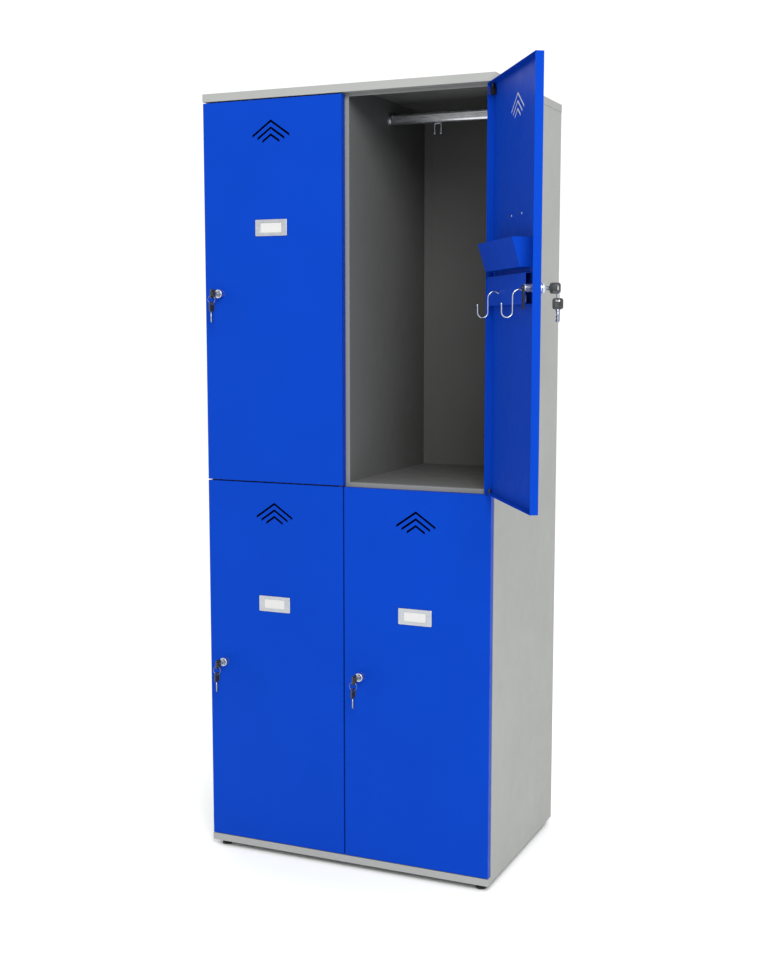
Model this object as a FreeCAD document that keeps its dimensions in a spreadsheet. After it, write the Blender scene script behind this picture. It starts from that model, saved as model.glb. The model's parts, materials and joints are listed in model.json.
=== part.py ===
"""Two-column, two-tier steel locker cabinet: every sub-part, in millimetres.

Frame: +Z up, +X to the right, +Y to the back; the origin is the middle of the
cabinet's footprint on the floor.  Each door is drawn closed about its own hinge
line and then turned by its rest angle, with everything it carries.
"""
import FreeCAD, Part
import Sketcher
import math
import os
import re
from FreeCAD import Placement, Rotation, Vector

doc = FreeCAD.newDocument("locker_cabinet")

# ---------------------------------------------------------------- dimensions
DIMENSIONS = {
    # carcass
    "cabinet_width": 715.0,
    "cabinet_depth": 485.0,
    "cabinet_height": 1800.0,
    "floor_gap": 15.0,
    "sheet": 0.8,
    # how far a cutting tool runs past its face, or a fused round sinks into its neighbour
    "overrun": 1.0,
    "lid_height": 18.0,
    "base_height": 16.5,
    "frame_setback": 20.0,
    "flange_width": 12.0,
    "post_width": 15.0,
    "lintel_drop": 7.5,
    "rear_flange": 20.0,
    "shelf_top": 914.0,
    "shelf_flange": 16.0,
    "wall_hole_radius": 4.0,
    "wall_hole_drop": 120.0,
    "tier_pitch": 874.5,
    # doors
    "door_width": 355.0,
    "door_height": 871.5,
    "door_depth": 17.0,
    "fold_radius": 1.4,
    "door_side_gap": 1.0,
    "door_foot_gap": 1.5,
    "hinge_inset": 6.5,
    "hinge_setback": 6.5,
    "pin_radius": 3.0,
    "pin_reach": 10.0,
    "running_gap": 0.05,
    "tab_thickness": 2.0,
    "tab_half_width": 4.0,
    "tab_clearance": 0.5,
    "open_angle": 124.1,
    # vents: three nested roof-shaped slots
    "vent_drop": 45.5,
    "vent_pitch": 15.3,
    "vent_slot": 5.8,
    "vent_angle": 34.7,
    "vent_half_span": 47.5,
    "vent_span_step": 12.7,
    # label holder
    "label_width": 82.0,
    "label_height": 38.0,
    "label_thickness": 2.4,
    "label_rise": 149.0,
    "label_offset": 1.0,
    "window_width": 55.0,
    "window_height": 23.0,
    "card_width": 66.0,
    "card_height": 30.0,
    "card_thickness": 0.6,
    "card_play": 0.3,
    "rivet_radius": 1.5,
    "rivet_play": 0.1,
    "rivet_head_radius": 2.6,
    "rivet_head": 0.6,
    # lock
    "lock_inset": 44.0,
    "lock_radius": 10.0,
    "lock_nose": 19.0,
    "lock_rim": 6.0,
    "barrel_radius": 8.0,
    "lock_reach": 21.5,
    "plug_radius": 6.0,
    "plug_proud": 0.3,
    "nut_flats": 20.0,
    "nut_thickness": 4.0,
    "cam_reach": 41.0,
    "cam_width": 11.0,
    "cam_thickness": 2.0,
    "cam_gap": 0.2,
    "screw_radius": 4.0,
    "screw_head": 2.5,
    # keys
    "blade_thickness": 2.0,
    "blade_width": 8.0,
    "blade_depth": 18.5,
    "blade_tuck": 2.0,
    "key_play": 0.1,
    "key_end_play": 0.5,
    "neck_length": 11.0,
    "bow_length": 22.0,
    "bow_height": 21.5,
    "bow_thickness": 3.6,
    "bow_corner": 5.0,
    "bow_slot_length": 10.0,
    "bow_slot_width": 4.4,
    "bow_rim": 3.0,
    "ring_radius": 9.3,
    "ring_wire": 0.7,
    "ring_play": 0.2,
    "spare_blade": 25.0,
    # door inside
    "channel_start": 58.0,
    "channel_depth": 14.4,
    "channel_height": 61.0,
    "bin_start": 62.0,
    "bin_length": 268.0,
    "bin_rise": 41.25,
    "bin_height": 57.5,
    "bin_foot": 25.0,
    "bin_mouth": 42.0,
    # wire hooks on the open door
    "hook_wire": 1.5,
    "hook_first": 71.0,
    "hook_second": 261.0,
    "hook_back": 9.5,
    "hook_middle": 36.0,
    "hook_front": 58.0,
    "hook_arch_drop": 2.0,
    "hook_tail": 12.0,
    "hook_throat": 54.0,
    "hook_tip": 16.0,
    "hook_slot_width": 4.0,
    "hook_slot_height": 8.5,
    "hook_sill_rise": 7.2,
    # hanging rods
    "rod_height": 25.0,
    "rod_thickness": 12.0,
    "rod_wall": 1.2,
    "rod_setback": 268.0,
    "rod_drop": 43.0,
    "socket_radius": 19.0,
    "socket_thickness": 3.0,
    "prong_offset": 121.0,
    "prong_spread": 8.0,
    "prong_drop": 26.0,
    "prong_radius": 1.8,
    "ball_radius": 3.6,
    # feet
    "foot_radius": 12.0,
    "foot_height": 9.0,
    "foot_inset": 25.0,
    "stem_radius": 4.0,
    "stem_top": 29.5,
    "foot_plate": 3.0,
}

sheet = doc.addObject("Spreadsheet::Sheet", "dims")
for row, (name, number) in enumerate(DIMENSIONS.items(), start=1):
    sheet.set("A%d" % row, name)
    sheet.set("B%d" % row, str(number))
    sheet.setAlias("B%d" % row, name)
doc.recompute()


# ------------------------------------------------------------------- helpers
def in_sheet(text):
    """Point every word of an expression at its cell in the sheet."""
    return re.sub(r"\b([a-z][a-z_]+)\b(?!\()", r"dims.\1", str(text))


def bind(item, prop, text):
    item.setExpression(prop, in_sheet(text))


def between(low, high):
    return "(%s) - (%s)" % (high, low)


def half(text, sign=1):
    return "%d * (%s) / 2" % (sign, text)


def place(item, x, y, z):
    bind(item, "Placement.Base.x", x)
    bind(item, "Placement.Base.y", y)
    bind(item, "Placement.Base.z", z)


def box(x, y, z):
    """A block; each argument is a (low, high) pair of expressions."""
    block = doc.addObject("Part::Box", "block")
    bind(block, "Length", between(*x))
    bind(block, "Width", between(*y))
    bind(block, "Height", between(*z))
    place(block, x[0], y[0], z[0])
    return block


AXIS_TURN = {
    "z": Rotation(),
    "y": Rotation(Vector(1, 0, 0), -90),
    "x": Rotation(Vector(0, 1, 0), 90),
}


def rod(x, y, z, radius, length, axis="z"):
    """A cylinder from (x, y, z) along +axis."""
    cylinder = doc.addObject("Part::Cylinder", "round")
    cylinder.Placement = Placement(Vector(), AXIS_TURN[axis])
    bind(cylinder, "Radius", radius)
    bind(cylinder, "Height", length)
    place(cylinder, x, y, z)
    return cylinder


def fuse(parts, name="joined"):
    joined = doc.addObject("Part::MultiFuse", name)
    joined.Shapes = parts
    joined.Refine = True
    return joined


def cut(base, tools, name="trimmed"):
    trimmed = doc.addObject("Part::Cut", name)
    trimmed.Base = base
    trimmed.Tool = tools[0] if len(tools) == 1 else fuse(tools)
    trimmed.Refine = False
    return trimmed


def compound(parts, name="group"):
    """Separate solids that share one node, such as a set of pins."""
    group = doc.addObject("Part::Compound", name)
    group.Links = parts
    return group


def plane_of(body, role):
    return next(item for item in body.Origin.OriginFeatures if item.Role == role)


def sketch_on(body, role, name):
    sketch = body.newObject("Sketcher::SketchObject", name)
    sketch.AttachmentSupport = (plane_of(body, role), [""])
    sketch.MapMode = "FlatFace"
    return sketch


def pin_point(sketch, element, point, x, y):
    """Fix one point of a sketch element at expressions (x, y)."""
    for kind, text in (("DistanceX", x), ("DistanceY", y)):
        number = sheet_value(text)
        constraint = Sketcher.Constraint(kind, -1, 1, element, point, number)
        index = sketch.addConstraint(constraint)
        bind(sketch, "Constraints[%d]" % index, text)


def sheet_value(text):
    """The number an expression gives now, used as a sketch's first guess."""
    return float(sheet.evalExpression(re.sub(r"dims\.", "", in_sheet(text))))


def polygon(sketch, corners):
    """A closed outline through (x, y) expression pairs."""
    points = [Vector(sheet_value(x), sheet_value(y), 0) for x, y in corners]
    first = sketch.GeometryCount
    count = len(points)
    for index in range(count):
        start, end = points[index], points[(index + 1) % count]
        sketch.addGeometry(Part.LineSegment(start, end), False)
    for index in range(count):
        following = first + (index + 1) % count
        sketch.addConstraint(
            Sketcher.Constraint("Coincident", first + index, 2, following, 1))
    for index, (x, y) in enumerate(corners):
        pin_point(sketch, first + index, 1, x, y)


def rectangle(sketch, x, y):
    polygon(sketch, [(x[0], y[0]), (x[1], y[0]), (x[1], y[1]), (x[0], y[1])])


def circle(sketch, x, y, radius):
    centre = Vector(sheet_value(x), sheet_value(y), 0)
    element = sketch.addGeometry(
        Part.Circle(centre, Vector(0, 0, 1), sheet_value(radius)), False)
    index = sketch.addConstraint(
        Sketcher.Constraint("Radius", element, sheet_value(radius)))
    bind(sketch, "Constraints[%d]" % index, radius)
    pin_point(sketch, element, 3, x, y)


def pad(body, sketch, length, both_ways=False):
    feature = body.newObject("PartDesign::Pad", "Pad")
    feature.Profile = sketch
    bind(feature, "Length", length)
    feature.Midplane = both_ways
    sketch.Visibility = False
    return feature


def pocket_through(body, sketch):
    feature = body.newObject("PartDesign::Pocket", "Pocket")
    feature.Profile = sketch
    feature.Type = "ThroughAll"
    feature.Midplane = True
    sketch.Visibility = False
    return feature


PARTS = []


def keep(item, node):
    item.Label = node
    PARTS.append((node, item))
    return item


# ------------------------------------------------------- carcass, shared edges
LEFT = "-cabinet_width / 2"
RIGHT = "cabinet_width / 2"
FRONT = "-cabinet_depth / 2"
BACK = "cabinet_depth / 2"
TOP = "cabinet_height"
FRAME_FRONT = FRONT + " + frame_setback"
FRAME_BACK = FRAME_FRONT + " + sheet"
BASE_TOP = "floor_gap + base_height"
LID_FOOT = "cabinet_height - lid_height"
LINTEL_FOOT = LID_FOOT + " - lintel_drop"
INNER_LEFT = LEFT + " + 2 * sheet"
INNER_RIGHT = RIGHT + " - 2 * sheet"
INNER_BACK = BACK + " - 2 * sheet"
LID_UNDERSIDE = TOP + " - sheet"
UPPER_FOOT = BASE_TOP + " + door_foot_gap + tier_pitch"
LOWER_FOOT = BASE_TOP + " + door_foot_gap"


def side_panel(node, side):
    """Flat side sheet with an inward flange down its front edge."""
    outer = "%d * (cabinet_width / 2 - sheet)" % side
    inner = "%d * (cabinet_width / 2 - 2 * sheet)" % side
    flange_edge = "%d * (cabinet_width / 2 - sheet - flange_width)" % side
    skin_span = (outer, inner) if side < 0 else (inner, outer)
    flange_span = (inner, flange_edge) if side < 0 else (flange_edge, inner)
    skin = box(skin_span, (FRAME_FRONT, BACK + " - sheet"), ("floor_gap", LID_UNDERSIDE))
    flange = box(flange_span, (FRAME_FRONT, FRAME_BACK), (BASE_TOP, LINTEL_FOOT))
    return keep(fuse([skin, flange], node), node)


side_panel("left_side_panel", -1)
side_panel("right_side_panel", 1)

# Centre partition with a rear flange to one side, and the post that closes its
# front edge; the right-hand doors' cams catch behind the post.
partition_web = box((half("sheet", -1), half("sheet")),
                    (FRAME_BACK, INNER_BACK), (BASE_TOP, LID_UNDERSIDE))
keep(box((half("post_width", -1), half("post_width")),
         (FRAME_FRONT, FRAME_BACK), (BASE_TOP, LINTEL_FOOT)), "centre_post")
partition_rear = box((half("sheet"), half("sheet") + " + rear_flange"),
                     (INNER_BACK + " - sheet", INNER_BACK), (BASE_TOP, LID_UNDERSIDE))
shelf_slit = box((half("sheet"), half("sheet") + " + rear_flange"),
                 (INNER_BACK + " - sheet", INNER_BACK),
                 ("shelf_top - sheet", "shelf_top"))
keep(cut(fuse([partition_web, partition_rear]), [shelf_slit],
         "centre_partition"), "centre_partition")

# Back sheet with one wall-fixing hole behind each compartment.
back_sheet = box((INNER_LEFT, INNER_RIGHT), (INNER_BACK, BACK + " - sheet"),
                 ("floor_gap", LID_UNDERSIDE))
wall_holes = []
for column in (-1, 1):
    for tier in (0, 1):
        height = "%s - wall_hole_drop - %d * tier_pitch" % (LID_FOOT, tier)
        wall_holes.append(rod("%d * cabinet_width / 4" % column, INNER_BACK + " - sheet",
                              height, "wall_hole_radius", "3 * sheet", "y"))
keep(cut(back_sheet, wall_holes, "back_panel"), "back_panel")

# Lid: a shallow pan turned down, its front folded back and down as the lintel.
lid_block = box((LEFT, RIGHT), (FRONT, BACK), (LID_FOOT, TOP))
lid_hollow = box((LEFT + " + sheet", RIGHT + " - sheet"), (FRONT + " + sheet", BACK + " - sheet"),
                 (LID_FOOT + " - overrun", LID_UNDERSIDE))
lid_return = box((LEFT + " + sheet", RIGHT + " - sheet"), (FRONT + " + sheet", FRAME_FRONT),
                 (LID_FOOT, LID_FOOT + " + sheet"))
lintel = box((INNER_LEFT, INNER_RIGHT), (FRAME_FRONT, FRAME_BACK),
             (LINTEL_FOOT, LID_FOOT + " + sheet"))
keep(fuse([cut(lid_block, [lid_hollow]), lid_return, lintel], "top_lid"), "top_lid")

# Base: front strip the full width, tray behind it between the side panels.
strip_block = box((LEFT, RIGHT), (FRONT, FRAME_FRONT), ("floor_gap", BASE_TOP))
strip_hollow = box((LEFT + " + sheet", RIGHT + " - sheet"),
                   (FRONT + " + sheet", FRAME_FRONT + " + overrun"),
                   ("floor_gap - overrun", BASE_TOP + " - sheet"))
tray_block = box((INNER_LEFT, INNER_RIGHT), (FRAME_FRONT, INNER_BACK),
                 ("floor_gap", BASE_TOP))
tray_hollow = box((INNER_LEFT + " + sheet", INNER_RIGHT + " - sheet"),
                  (FRAME_FRONT + " - overrun", INNER_BACK + " - sheet"),
                  ("floor_gap - overrun", BASE_TOP + " - sheet"))
FEET = {
    "front_left": (-1, -1),
    "front_right": (1, -1),
    "rear_left": (-1, 1),
    "rear_right": (1, 1),
}


def foot_position(x_side, y_side):
    """Middle of a levelling foot, as far in from the side as from the front or back."""
    x = "%d * (cabinet_width / 2 - foot_inset)" % x_side
    y = "%d * (cabinet_depth / 2 - foot_inset)" % y_side
    return x, y


corner_plates = []
stem_holes = []
for x_side, y_side in FEET.values():
    foot_x, foot_y = foot_position(x_side, y_side)
    wall = "%d * (cabinet_width / 2 - 3 * sheet)" % x_side
    inner = "(%s) - %d * foot_radius" % (foot_x, x_side)
    span = (wall, inner) if x_side < 0 else (inner, wall)
    corner_plates.append(box(span, (foot_y + " - foot_radius", foot_y + " + foot_radius"),
                             ("floor_gap", "floor_gap + foot_plate")))
    stem_holes.append(rod(foot_x, foot_y, "floor_gap - overrun",
                          "stem_radius + running_gap", "foot_plate + 2 * overrun"))
base_shell = fuse([cut(strip_block, [strip_hollow]), cut(tray_block, [tray_hollow])]
                  + corner_plates)
keep(cut(base_shell, stem_holes, "base_tray"), "base_tray")


def middle_shelf(node, column):
    """Shelf between the tiers with a front flange turned down."""
    wall = "%d * (cabinet_width / 2 - 2 * sheet)" % column
    web = "%d * sheet / 2" % column
    outer_edge = "%d * (cabinet_width / 2 - sheet - flange_width)" % column
    inner_edge = "%d * post_width / 2" % column
    plate_span = (wall, web) if column < 0 else (web, wall)
    flange_span = (outer_edge, inner_edge) if column < 0 else (inner_edge, outer_edge)
    plate = box(plate_span, (FRAME_BACK, INNER_BACK), ("shelf_top - sheet", "shelf_top"))
    flange = box(flange_span, (FRAME_FRONT, FRAME_BACK),
                 ("shelf_top - shelf_flange", "shelf_top"))
    return keep(fuse([plate, flange], node), node)


middle_shelf("left_shelf", -1)
middle_shelf("right_shelf", 1)

# --------------------------------------------------------------- hinge pins
HINGE_Y = FRONT + " + hinge_setback"
HINGE_X = {
    "left": "-cabinet_width / 2 + door_side_gap + door_width - hinge_inset",
    "right": "cabinet_width / 2 - door_side_gap - hinge_inset",
}
TAB_FOOT = UPPER_FOOT + " - tab_thickness - tab_clearance"
UPPER_HEAD = UPPER_FOOT + " + door_height"
hinge_pins = []
for hinge_x in HINGE_X.values():
    low_pin = rod(hinge_x, HINGE_Y, BASE_TOP, "pin_radius", "pin_reach")
    high_pin = rod(hinge_x, HINGE_Y, UPPER_HEAD + " - pin_reach", "pin_radius",
                   between(UPPER_HEAD + " - pin_reach", LID_FOOT))
    tab = box((hinge_x + " - tab_half_width", hinge_x + " + tab_half_width"),
              (HINGE_Y + " - tab_half_width", FRAME_FRONT),
              (TAB_FOOT, TAB_FOOT + " + tab_thickness"))
    middle_pin = rod(hinge_x, HINGE_Y, TAB_FOOT + " - pin_reach", "pin_radius",
                     "2 * pin_reach + tab_thickness")
    hinge_pins += [low_pin, high_pin, fuse([tab, middle_pin])]
keep(compound(hinge_pins, "hinge_pins"), "hinge_pins")

# ------------------------------------------------- hanging rods and their ends
ROD_Y = FRONT + " + rod_setback"
COMPARTMENT_WALLS = {
    -1: (INNER_LEFT, half("sheet", -1)),
    1: (half("sheet"), INNER_RIGHT),
}


def oval(x, centre_z, height, thickness, length):
    """Oval bar along X: a block with a round on its upper and lower edge."""
    straight = "(%s - %s) / 2" % (height, thickness)
    middle = box((x, "%s + %s" % (x, length)),
                 ("%s - %s / 2" % (ROD_Y, thickness), "%s + %s / 2" % (ROD_Y, thickness)),
                 ("%s - %s" % (centre_z, straight), "%s + %s" % (centre_z, straight)))
    rounds = [rod(x, ROD_Y, "%s %s %s" % (centre_z, sign, straight),
                  "%s / 2" % thickness, length, "x") for sign in "+-"]
    return fuse([middle] + rounds)


rods, sockets, prongs = [], [], []
for column, (wall_low, wall_high) in COMPARTMENT_WALLS.items():
    for tier in (0, 1):
        centre = "%s - rod_drop - %d * tier_pitch" % (LID_UNDERSIDE, tier)
        start = wall_low + " + socket_thickness"
        run = "(%s) - (%s) - 2 * socket_thickness" % (wall_high, wall_low)
        tube = cut(oval(start, centre, "rod_height", "rod_thickness", run),
                   [oval(start + " - overrun", centre, "(rod_height - 2 * rod_wall)",
                         "(rod_thickness - 2 * rod_wall)", run + " + 2 * overrun")])
        rods.append(tube)
        for x in (wall_low, wall_high + " - socket_thickness"):
            sockets.append(rod(x, ROD_Y, centre, "socket_radius", "socket_thickness", "x"))
        prong_x = wall_low + " + prong_offset"
        rod_foot = centre + " - rod_height / 2"
        pieces = [rod(prong_x + " - prong_spread", ROD_Y, rod_foot + " - prong_radius",
                      "prong_radius", "2 * prong_spread", "x")]
        for sign in ("-", "+"):
            end_x = "%s %s prong_spread" % (prong_x, sign)
            pieces.append(rod(end_x, ROD_Y, rod_foot + " - prong_drop", "prong_radius",
                              "prong_drop - prong_radius"))
            ball = doc.addObject("Part::Sphere", "ball")
            bind(ball, "Radius", "ball_radius")
            place(ball, end_x, ROD_Y, rod_foot + " - prong_drop")
            pieces.append(ball)
        prongs.append(fuse(pieces))
keep(compound(rods, "hanging_rods"), "hanging_rods")
keep(compound(sockets, "rod_sockets"), "rod_sockets")
keep(compound(prongs, "coat_hooks"), "coat_hooks")

# --------------------------------------------------------------------- feet
for corner, (x_side, y_side) in FEET.items():
    foot_x, foot_y = foot_position(x_side, y_side)
    disc = rod(foot_x, foot_y, "0", "foot_radius", "foot_height")
    stem = rod(foot_x, foot_y, "foot_height - overrun", "stem_radius",
               "stem_top - foot_height + overrun")
    node = "foot_" + corner
    keep(fuse([disc, stem], node), node)

# -------------------------------------------------------------------- doors
# Door frame: origin on the hinge line at the door's foot, +Y into the cabinet.
FREE_EDGE = "hinge_inset - door_width"
HINGE_EDGE = "hinge_inset"
FACE = "-hinge_setback"
SKIN_BACK = "sheet - hinge_setback"
PAN_BACK = "door_depth - hinge_setback"
DOOR_MIDDLE = "hinge_inset - door_width / 2"
LOCK_X = "hinge_inset - door_width + lock_inset"
LOCK_Z = "door_height / 2"
NOSE = "-hinge_setback - lock_nose"
LABEL_X = DOOR_MIDDLE + " - label_offset"
LABEL_Z = LOCK_Z + " + label_rise"
RIVET_OFFSET = "(label_width + card_width) / 4"
# Wire hooks: distances into the cabinet are from the door's outer face.
HOOK_ARCH_RADIUS = "(hook_middle - hook_back) / 2"
HOOK_ARCH_TOP = LOCK_Z + " - hook_arch_drop"
HOOK_ARCH_CENTRE = "%s - %s" % (HOOK_ARCH_TOP, HOOK_ARCH_RADIUS)
HOOK_SILL = HOOK_ARCH_CENTRE + " + hook_sill_rise"


def chevron(sketch, order):
    """One roof-shaped slot; order 0 is the highest and widest."""
    apex = "door_height - vent_drop - %d * vent_pitch" % order
    span = "(vent_half_span - %d * vent_span_step)" % order
    fall = "%s * tan(vent_angle * 1deg)" % span
    polygon(sketch, [
        (DOOR_MIDDLE, apex),
        ("%s + %s" % (DOOR_MIDDLE, span), "%s - %s" % (apex, fall)),
        ("%s + %s" % (DOOR_MIDDLE, span), "%s - %s - vent_slot" % (apex, fall)),
        (DOOR_MIDDLE, apex + " - vent_slot"),
        ("%s - %s" % (DOOR_MIDDLE, span), "%s - %s - vent_slot" % (apex, fall)),
        ("%s - %s" % (DOOR_MIDDLE, span), "%s - %s" % (apex, fall)),
    ])


def round_folds(body, block):
    """Bend radius along the four edges where the skin folds back."""
    doc.recompute()
    face_y = sheet_value(FACE)
    folds = []
    for number, edge in enumerate(block.Shape.Edges, start=1):
        if all(abs(corner.Y - face_y) < 0.01 for corner in edge.Vertexes):
            folds.append("Edge%d" % number)
    bend = body.newObject("PartDesign::Fillet", "bend")
    bend.Base = (block, folds)
    bind(bend, "Radius", "fold_radius")


def door_panel(name):
    """Folded pan: skin and four returns, with vents and holes punched."""
    body = doc.addObject("PartDesign::Body", name)
    outline = sketch_on(body, "XY_Plane", "outline")
    rectangle(outline, (FREE_EDGE, HINGE_EDGE), (FACE, PAN_BACK))
    round_folds(body, pad(body, outline, "door_height"))
    hollow = sketch_on(body, "XZ_Plane", "hollow")
    bind(hollow, "AttachmentOffset.Base.z", "hinge_setback - sheet")
    rectangle(hollow, (FREE_EDGE + " + sheet", HINGE_EDGE + " - sheet"),
              ("sheet", "door_height - sheet"))
    scoop = body.newObject("PartDesign::Pocket", "Pocket")
    scoop.Profile = hollow
    bind(scoop, "Length", "door_depth")
    hollow.Visibility = False
    vents = sketch_on(body, "XZ_Plane", "vents")
    for order in range(3):
        chevron(vents, order)
    pocket_through(body, vents)
    holes = sketch_on(body, "XZ_Plane", "holes")
    circle(holes, LOCK_X, LOCK_Z, "barrel_radius + running_gap")
    for sign in "-+":
        circle(holes, "%s %s %s" % (LABEL_X, sign, RIVET_OFFSET), LABEL_Z,
               "rivet_radius + rivet_play")
    pocket_through(body, holes)
    pins = sketch_on(body, "XY_Plane", "pins")
    circle(pins, "0", "0", "pin_radius + running_gap")
    pocket_through(body, pins)
    return body


def channel(name, slots):
    """Stiffener across the lock line, from clear of the lock to the hinge side's return."""
    x = (FREE_EDGE + " + channel_start", HINGE_EDGE + " - sheet")
    z = (LOCK_Z + " - channel_height / 2", LOCK_Z + " + channel_height / 2")
    back = "channel_depth - hinge_setback"
    block = box(x, (SKIN_BACK, back), z)
    hollow = box((x[0] + " - overrun", x[1] + " + overrun"),
                 (SKIN_BACK + " - overrun", back + " - sheet"),
                 (z[0] + " + sheet", z[1] + " - sheet"))
    tools = [hollow]
    for position in slots:
        slot_x = "%s + %s" % (FREE_EDGE, position)
        tools.append(box((slot_x + " - hook_slot_width / 2", slot_x + " + hook_slot_width / 2"),
                         (back + " - sheet - overrun", back + " + overrun"),
                         (HOOK_SILL, HOOK_SILL + " + hook_slot_height")))
    return cut(block, tools, name)


def label_holder(name):
    """Pressed frame with a pocket for the card, and the two rivets that hold it."""
    front = FACE + " - label_thickness"
    plate = box((LABEL_X + " - label_width / 2", LABEL_X + " + label_width / 2"), (front, FACE),
                (LABEL_Z + " - label_height / 2", LABEL_Z + " + label_height / 2"))
    window = box((LABEL_X + " - window_width / 2", LABEL_X + " + window_width / 2"),
                 (front + " - overrun", FACE + " + overrun"),
                 (LABEL_Z + " - window_height / 2", LABEL_Z + " + window_height / 2"))
    room = box((LABEL_X + " - card_width / 2 - card_play", LABEL_X + " + card_width / 2 + card_play"),
               (FACE + " - card_thickness - card_play", FACE + " + overrun"),
               (LABEL_Z + " - card_height / 2 - card_play",
                LABEL_Z + " + card_height / 2 + card_play"))
    tools = [window, room]
    rivets = []
    for sign in "-+":
        x = "%s %s %s" % (LABEL_X, sign, RIVET_OFFSET)
        tools.append(rod(x, front + " - overrun", LABEL_Z, "rivet_radius + rivet_play",
                         "label_thickness + 2 * overrun", "y"))
        head = rod(x, front + " - rivet_head", LABEL_Z, "rivet_head_radius", "rivet_head", "y")
        shank = rod(x, front + " - rivet_head", LABEL_Z, "rivet_radius",
                    "label_thickness + sheet + 2 * rivet_head", "y")
        tail = rod(x, SKIN_BACK, LABEL_Z, "rivet_head_radius", "rivet_head", "y")
        rivets.append(fuse([head, shank, tail]))
    return compound([cut(plate, tools)] + rivets, name)


def label_card(name):
    body = doc.addObject("PartDesign::Body", name)
    outline = sketch_on(body, "XZ_Plane", "outline")
    bind(outline, "AttachmentOffset.Base.z", "hinge_setback")
    rectangle(outline, (LABEL_X + " - card_width / 2", LABEL_X + " + card_width / 2"),
              (LABEL_Z + " - card_height / 2", LABEL_Z + " + card_height / 2"))
    pad(body, outline, "card_thickness")
    return body


def hexagon(x, z, flats, y_low, thickness):
    prism = doc.addObject("Part::Prism", "hexagon")
    prism.Polygon = 6
    prism.Placement = Placement(Vector(), AXIS_TURN["y"])
    bind(prism, "Circumradius", "%s / sqrt(3)" % flats)
    bind(prism, "Height", thickness)
    place(prism, x, y_low, z)
    return prism


def lock_case(name):
    """Cam lock housing through the skin, and the nut that clamps it."""
    rim = rod(LOCK_X, NOSE, LOCK_Z, "lock_radius", "lock_rim", "y")
    barrel = rod(LOCK_X, NOSE + " + overrun", LOCK_Z, "barrel_radius",
                 "lock_nose - overrun + lock_reach", "y")
    bore = rod(LOCK_X, NOSE + " - overrun", LOCK_Z, "plug_radius + running_gap",
               "lock_nose + lock_reach + 2 * overrun", "y")
    housing = cut(fuse([rim, barrel]), [bore])
    nut_hole = rod(LOCK_X, SKIN_BACK + " - overrun", LOCK_Z, "barrel_radius",
                   "nut_thickness + 2 * overrun", "y")
    nut = cut(hexagon(LOCK_X, LOCK_Z, "nut_flats", SKIN_BACK, "nut_thickness"), [nut_hole])
    return compound([housing, nut], name)


def lock_plug(name):
    """Round turning core with the keyway in its front; the cam sits on its back end."""
    core = rod(LOCK_X, NOSE + " - plug_proud", LOCK_Z, "plug_radius",
               "plug_proud + lock_nose + lock_reach + cam_gap", "y")
    keyway = box((LOCK_X + " - blade_thickness / 2 - key_play",
                  LOCK_X + " + blade_thickness / 2 + key_play"),
                 (NOSE + " - overrun", NOSE + " + blade_depth + key_end_play"),
                 (LOCK_Z + " - blade_width / 2 - key_play",
                  LOCK_Z + " + blade_width / 2 + key_play"))
    return cut(core, [keyway], name)


CAM_FRONT = "lock_reach - hinge_setback + cam_gap"


def lock_cam(name):
    """Flat arm on the plug's tail, pointing down when unlocked, and its screw."""
    body = doc.addObject("PartDesign::Body", name)
    arm = sketch_on(body, "XZ_Plane", "arm")
    bind(arm, "AttachmentOffset.Base.z", "-(%s) - cam_thickness" % CAM_FRONT)
    rectangle(arm, (LOCK_X + " - cam_width / 2", LOCK_X + " + cam_width / 2"),
              (LOCK_Z + " - cam_reach", LOCK_Z + " + cam_width / 2"))
    pad(body, arm, "cam_thickness")
    head = sketch_on(body, "XZ_Plane", "head")
    bind(head, "AttachmentOffset.Base.z", "-(%s) - cam_thickness - screw_head" % CAM_FRONT)
    circle(head, LOCK_X, LOCK_Z, "screw_radius")
    pad(body, head, "screw_head")
    return body


def key_head(sketch, y, z):
    """Bow outline with clipped corners; y and z are (low, high) pairs."""
    polygon(sketch, [
        (y[0] + " + bow_corner", z[0]), (y[1] + " - bow_corner", z[0]),
        (y[1], z[0] + " + bow_corner"), (y[1], z[1] + " - bow_corner"),
        (y[1] + " - bow_corner", z[1]), (y[0] + " + bow_corner", z[1]),
        (y[0], z[1] + " - bow_corner"), (y[0], z[0] + " + bow_corner"),
    ])


BOW_FRONT = NOSE + " - neck_length - bow_length"
RING_Y = BOW_FRONT + " + bow_rim + bow_slot_width / 2"
RING_TOP = LOCK_Z + " - bow_slot_length / 2 + ring_wire + ring_play"
RING_FOOT = RING_TOP + " - 2 * ring_radius"
SPARE_SLOT_TOP = RING_FOOT + " + ring_wire + ring_play"
SPARE_TOP = SPARE_SLOT_TOP + " + bow_rim"


def thin_body(name, thickness):
    """A body of sketches on the lock's upright middle plane."""
    body = doc.addObject("PartDesign::Body", name)

    def layer(label, width, draw):
        sketch = sketch_on(body, "YZ_Plane", label)
        bind(sketch, "AttachmentOffset.Base.z", LOCK_X)
        draw(sketch)
        return pad(body, sketch, width, both_ways=True)

    def opening(label, draw):
        sketch = sketch_on(body, "YZ_Plane", label)
        bind(sketch, "AttachmentOffset.Base.z", LOCK_X)
        draw(sketch)
        return pocket_through(body, sketch)

    return body, layer, opening


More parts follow.
